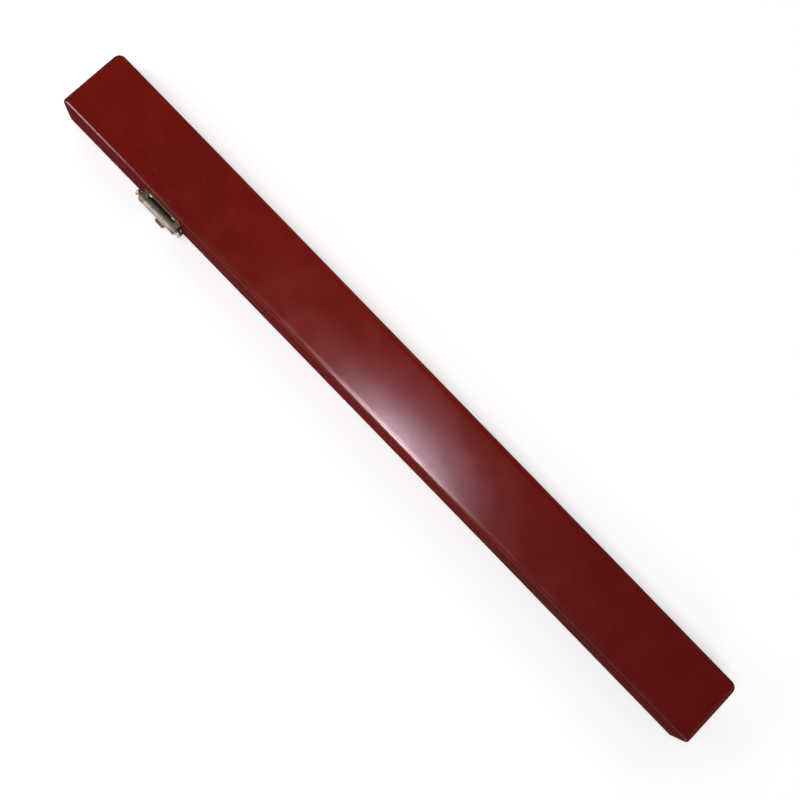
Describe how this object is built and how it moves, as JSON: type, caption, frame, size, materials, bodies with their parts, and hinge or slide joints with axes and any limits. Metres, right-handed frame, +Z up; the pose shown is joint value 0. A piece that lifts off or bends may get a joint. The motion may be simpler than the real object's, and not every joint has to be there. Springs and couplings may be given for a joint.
{
  "type": "baton case",
  "caption": "Slim leather-covered case with a hinged lid, a fitted bed for a conductor's baton and a swinging hasp over a stud.",
  "frame": {"origin": "middle of the flat underside that the closed case rests on", "axes": "+X along the case, away from the end with the latch; +Y to the hinged back; +Z up through the lid"},
  "size_m": [0.45, 0.0455, 0.027],
  "materials": {
    "leather": "satin, polished by handling",
    "carcass_wood": "planed, bare",
    "velvet": "short pile",
    "satin": "satin weave",
    "brass": "drawn, lightly aged",
    "nickel": "nickel plate, lightly aged"
  },
  "bodies": {
    "base": {"base_leather": "leather", "base_carcass": "carcass_wood", "fitted_bed": "velvet", "rim_collar": "velvet", "hinge_left_base_leaf": "brass", "hinge_left_pin": "brass", "hinge_middle_base_leaf": "brass", "hinge_middle_pin": "brass", "hinge_right_base_leaf": "brass", "hinge_right_pin": "brass", "hinge_screws_base": "brass", "latch_base_plate": "nickel", "latch_stud": "nickel", "latch_rivets_base": "nickel"},
    "lid": {"lid_carcass": "carcass_wood", "lid_leather": "leather", "lid_lining": "satin", "lid_pad": "satin", "hinge_screws_lid": "brass", "latch_lid_plate": "nickel", "latch_pin": "nickel", "latch_rivets_lid": "nickel", "hinge_left_lid_leaf": "brass", "hinge_middle_lid_leaf": "brass", "hinge_right_lid_leaf": "brass"},
    "hasp": {"latch_hasp": "nickel"}
  },
  "joints": [
    {"name": "lid_hinge", "type": "hinge", "parent": "base", "child": "lid", "pos_m": [0, 0.0183, 0.0151], "axis": [-1, 0, 0], "range_deg": [0, 110]},
    {"name": "hasp_hinge", "type": "hinge", "parent": "lid", "child": "hasp", "pos_m": [-0.152, -0.0229, 0.0166], "axis": [-1, 0, 0], "range_deg": [0, 150]}
  ]
}
